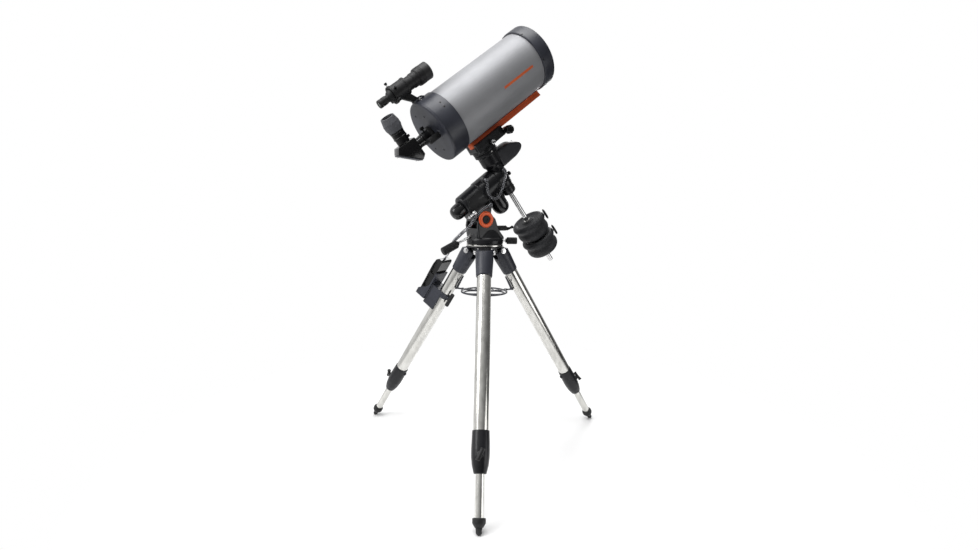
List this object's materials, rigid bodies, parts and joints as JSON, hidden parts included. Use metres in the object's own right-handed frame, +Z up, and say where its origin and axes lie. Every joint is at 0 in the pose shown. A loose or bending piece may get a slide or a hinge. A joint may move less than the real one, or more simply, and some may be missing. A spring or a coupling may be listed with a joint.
{
  "type": "maksutov telescope",
  "caption": "Maksutov telescope with finder, diagonal and eyepiece on a motorised equatorial mount and a steel tripod, with hand controller and tray.",
  "frame": {"origin": "on the ground, under the centre of the box of the object without its cords", "axes": "+Z up; +Y north, the way the tube and the polar axis point; +X east"},
  "size_m": [0.998, 0.9878, 1.6072],
  "materials": {
    "mount_paint": "charcoal satin cast paint",
    "cell_paint": "blue-grey satin paint",
    "tube_paint": "silver-grey satin paint",
    "steel": "brushed stainless",
    "orange": "orange anodised",
    "gloss_black": "glossy black",
    "matte_black": "matt black",
    "weight_iron": "black crinkle paint",
    "rubber": "soft rubber",
    "optical_glass": "coated glass",
    "mirror": "aluminised",
    "black_aluminium": "black anodised"
  },
  "bodies": {
    "tripod": {"tripod_hub": "mount_paint"},
    "leg_front": {"leg_casting_front": "mount_paint", "leg_tube_front": "steel"},
    "foot_front": {"leg_extension_front": "steel"},
    "clamp_front": {"leg_clamp_front": "matte_black"},
    "leg_left": {"leg_casting_left": "mount_paint", "leg_tube_left": "steel", "controller_cradle": "mount_paint"},
    "foot_left": {"leg_extension_left": "steel"},
    "clamp_left": {"leg_clamp_left": "matte_black"},
    "leg_north": {"leg_casting_north": "mount_paint", "leg_tube_north": "steel"},
    "foot_north": {"leg_extension_north": "steel"},
    "clamp_north": {"leg_clamp_north": "matte_black"},
    "handset": {"hand_controller": "matte_black"},
    "cradle_screw": {"cradle_knob": "matte_black"},
    "rod": {"centre_rod": "steel"},
    "tray": {"accessory_tray": "mount_paint"},
    "tray_nut": {"tray_knob": "matte_black"},
    "azimuth": {"azimuth_yoke": "mount_paint", "latitude_cap": "orange"},
    "latitude_screw": {"latitude_bolt": "steel"},
    "azimuth_screw_east": {"azimuth_bolt_east": "matte_black"},
    "azimuth_screw_west": {"azimuth_bolt_west": "matte_black"},
    "latitude": {"polar_housing": "mount_paint", "polar_motor_cover": "gloss_black", "polar_cover": "gloss_black", "dec_cord": "rubber", "hand_cord": "rubber"},
    "polar_lock": {"polar_lock_lever": "steel"},
    "right_ascension": {"polar_shaft": "steel", "dec_housing": "mount_paint", "dec_motor_cover": "gloss_black", "counterweight_shaft": "steel"},
    "dec_lock": {"dec_lock_lever": "matte_black"},
    "weight_upper": {"counterweight_upper": "weight_iron"},
    "weight_screw_upper": {"counterweight_screw_upper": "matte_black"},
    "weight_lower": {"counterweight_lower": "weight_iron"},
    "weight_screw_lower": {"counterweight_screw_lower": "matte_black"},
    "declination": {"saddle": "mount_paint"},
    "saddle_screw_front": {"saddle_knob_front": "matte_black"},
    "saddle_screw_rear": {"saddle_knob_rear": "matte_black"},
    "tube": {"dovetail_bar": "orange", "main_tube": "tube_paint", "front_cell": "cell_paint", "corrector_lens": "optical_glass", "secondary_baffle": "black_aluminium", "rear_cell": "cell_paint", "baffle_tube": "black_aluminium", "visual_back": "black_aluminium"},
    "mirror": {"primary_mirror": "mirror"},
    "focuser": {"focus_knob": "rubber"},
    "back_screw": {"visual_back_screw": "matte_black"},
    "diagonal": {"diagonal_body": "black_aluminium", "diagonal_mirror": "mirror"},
    "eyepiece": {"eyepiece": "black_aluminium", "eyecup": "rubber"},
    "finder_mount": {"finder_bracket": "black_aluminium"},
    "finder": {"finder_tube": "black_aluminium", "finder_lens": "optical_glass"}
  },
  "joints": [
    {"name": "leg_front_fold", "type": "hinge", "parent": "tripod", "child": "leg_front", "pos_m": [0.05499, -0.11079, 0.78543], "axis": [0.5, 0.866, 0], "range_deg": [0, 4.5]},
    {"name": "leg_front_extension", "type": "slide", "parent": "leg_front", "child": "foot_front", "axis": [0.4679, -0.2701, -0.8415], "range_m": [-0.11, 0.25]},
    {"name": "leg_front_clamp", "type": "hinge", "parent": "leg_front", "child": "clamp_front", "pos_m": [0.41539, -0.31886, 0.21125], "axis": [0.7288, -0.4208, 0.5402], "range_deg": [-360, 360]},
    {"name": "leg_left_fold", "type": "hinge", "parent": "tripod", "child": "leg_left", "pos_m": [-0.05499, -0.11079, 0.78543], "axis": [0.5, -0.866, 0], "range_deg": [0, 4.5], "deforming": ["hand_cord"]},
    {"name": "leg_left_extension", "type": "slide", "parent": "leg_left", "child": "foot_left", "axis": [-0.4679, -0.2701, -0.8415], "range_m": [-0.11, 0.25]},
    {"name": "leg_left_clamp", "type": "hinge", "parent": "leg_left", "child": "clamp_left", "pos_m": [-0.41539, -0.31886, 0.21125], "axis": [-0.7288, -0.4208, 0.5402], "range_deg": [-360, 360]},
    {"name": "leg_north_fold", "type": "hinge", "parent": "tripod", "child": "leg_north", "pos_m": [0, -0.01554, 0.78543], "axis": [-1, 0, 0], "range_deg": [0, 4.5]},
    {"name": "leg_north_extension", "type": "slide", "parent": "leg_north", "child": "foot_north", "axis": [0, 0.5402, -0.8415], "range_m": [-0.11, 0.25]},
    {"name": "leg_north_clamp", "type": "hinge", "parent": "leg_north", "child": "clamp_north", "pos_m": [0, 0.40061, 0.21125], "axis": [0, 0.8415, 0.5402], "range_deg": [-360, 360]},
    {"name": "handset_lift", "type": "slide", "parent": "leg_left", "child": "handset", "axis": [0.4679, 0.2701, 0.8415], "range_m": [0, 0.14], "deforming": ["hand_cord"]},
    {"name": "cradle_screw_turn", "type": "hinge", "parent": "leg_left", "child": "cradle_screw", "pos_m": [-0.15792, -0.17021, 0.6003], "axis": [0.8558, 0.0992, -0.5077], "range_deg": [-360, 360]},
    {"name": "rod_turn", "type": "hinge", "parent": "tripod", "child": "rod", "pos_m": [0, -0.07904, 0.75074], "axis": [0, 0, 1], "continuous": true},
    {"name": "tray_slide", "type": "slide", "parent": "tripod", "child": "tray", "axis": [0, 0, -1], "range_m": [0, 0.0348]},
    {"name": "tray_knob_turn", "type": "hinge", "parent": "tray", "child": "tray_nut", "pos_m": [0, -0.07904, 0.61074], "axis": [0, 0, 1], "continuous": true},
    {"name": "azimuth_turn", "type": "hinge", "parent": "tripod", "child": "azimuth", "pos_m": [0, -0.07904, 0.82573], "axis": [0, 0, 1], "range_deg": [-8, 8], "deforming": ["hand_cord"]},
    {"name": "latitude_bolt_turn", "type": "hinge", "parent": "azimuth", "child": "latitude_screw", "pos_m": [0, -0.17204, 0.82773], "axis": [0, 0.9026, 0.4305], "range_deg": [-720, 720]},
    {"name": "azimuth_bolt_east_turn", "type": "hinge", "parent": "azimuth", "child": "azimuth_screw_east", "pos_m": [0, -0.07904, 0.82573], "axis": [0.4695, 0.8829, 0], "range_deg": [-720, 720]},
    {"name": "azimuth_bolt_west_turn", "type": "hinge", "parent": "azimuth", "child": "azimuth_screw_west", "pos_m": [0, -0.07904, 0.82573], "axis": [-0.4695, 0.8829, 0], "range_deg": [-720, 720]},
    {"name": "latitude_tilt", "type": "hinge", "parent": "azimuth", "child": "latitude", "pos_m": [0, -0.10504, 0.90673], "axis": [1, 0, 0], "range_deg": [-12, 26], "deforming": ["hand_cord"]},
    {"name": "polar_lock_turn", "type": "hinge", "parent": "latitude", "child": "polar_lock", "pos_m": [0.0377, -0.14887, 0.93112], "axis": [1, 0, 0], "range_deg": [-45, 45]},
    {"name": "right_ascension_turn", "type": "hinge", "parent": "latitude", "child": "right_ascension", "pos_m": [0, -0.1506, 0.96631], "axis": [0, 0.7943, 0.6075], "range_deg": [-90, 90], "deforming": ["dec_cord"]},
    {"name": "dec_lock_turn", "type": "hinge", "parent": "right_ascension", "child": "dec_lock", "pos_m": [0.008, 0.01444, 1.07743], "axis": [0, 0.7943, 0.6075], "range_deg": [-45, 45]},
    {"name": "weight_upper_slide", "type": "slide", "parent": "right_ascension", "child": "weight_upper", "axis": [0, -0.6075, 0.7943], "range_m": [0, 0.08]},
    {"name": "weight_screw_upper_turn", "type": "hinge", "parent": "weight_upper", "child": "weight_screw_upper", "pos_m": [0, 0.12178, 0.88507], "axis": [0.4226, 0.7199, 0.5506], "range_deg": [-360, 360]},
    {"name": "weight_lower_slide", "type": "slide", "parent": "right_ascension", "child": "weight_lower", "axis": [0, 0.6075, -0.7943], "range_m": [0, 0.045]},
    {"name": "weight_screw_lower_turn", "type": "hinge", "parent": "weight_lower", "child": "weight_screw_lower", "pos_m": [0, 0.16916, 0.82312], "axis": [0.4226, 0.7199, 0.5506], "range_deg": [-360, 360]},
    {"name": "declination_turn", "type": "hinge", "parent": "right_ascension", "child": "declination", "pos_m": [0, -0.01795, 1.06776], "axis": [0, -0.6075, 0.7943], "continuous": true},
    {"name": "saddle_knob_front_turn", "type": "hinge", "parent": "declination", "child": "saddle_screw_front", "pos_m": [0.05, -0.0181, 1.23257], "axis": [1, 0, 0], "range_deg": [-360, 360]},
    {"name": "saddle_knob_rear_turn", "type": "hinge", "parent": "declination", "child": "saddle_screw_rear", "pos_m": [0.05, -0.08086, 1.18458], "axis": [1, 0, 0], "range_deg": [-360, 360]},
    {"name": "tube_slide", "type": "slide", "parent": "declination", "child": "tube", "axis": [0, 0.7943, 0.6075], "range_m": [-0.1, 0.05]},
    {"name": "mirror_slide", "type": "slide", "parent": "tube", "child": "mirror", "axis": [0, 0.7943, 0.6075], "range_m": [-0.007, 0.007]},
    {"name": "focus_knob_turn", "type": "hinge", "parent": "tube", "child": "focuser", "pos_m": [0.055, -0.30907, 1.18502], "axis": [0, 0.7943, 0.6075], "range_deg": [-1080, 1080]},
    {"name": "visual_back_screw_turn", "type": "hinge", "parent": "tube", "child": "back_screw", "pos_m": [0, -0.32828, 1.20684], "axis": [0, -0.6075, 0.7943], "range_deg": [-360, 360]},
    {"name": "diagonal_turn", "type": "hinge", "parent": "tube", "child": "diagonal", "pos_m": [0, -0.34631, 1.16787], "axis": [0, 0.7943, 0.6075], "continuous": true},
    {"name": "eyepiece_slide", "type": "slide", "parent": "diagonal", "child": "eyepiece", "axis": [0, -0.6075, 0.7943], "range_m": [0, 0.02]},
    {"name": "finder_mount_slide", "type": "slide", "parent": "tube", "child": "finder_mount", "axis": [0, -0.7943, -0.6075], "range_m": [0, 0.05]},
    {"name": "finder_aim", "type": "hinge", "parent": "finder_mount", "child": "finder", "pos_m": [0, -0.39562, 1.34922], "axis": [1, 0, 0], "range_deg": [-1, 1]}
  ],
  "couplings": [
    {"joint": "leg_front_fold", "follows": "leg_left_fold", "ratio": 1},
    {"joint": "leg_north_fold", "follows": "leg_left_fold", "ratio": 1},
    {"joint": "tray_slide", "follows": "leg_left_fold", "m_per_rad": 0.44118},
    {"joint": "focus_knob_turn", "follows": "mirror_slide", "rad_per_m": 2690}
  ]
}
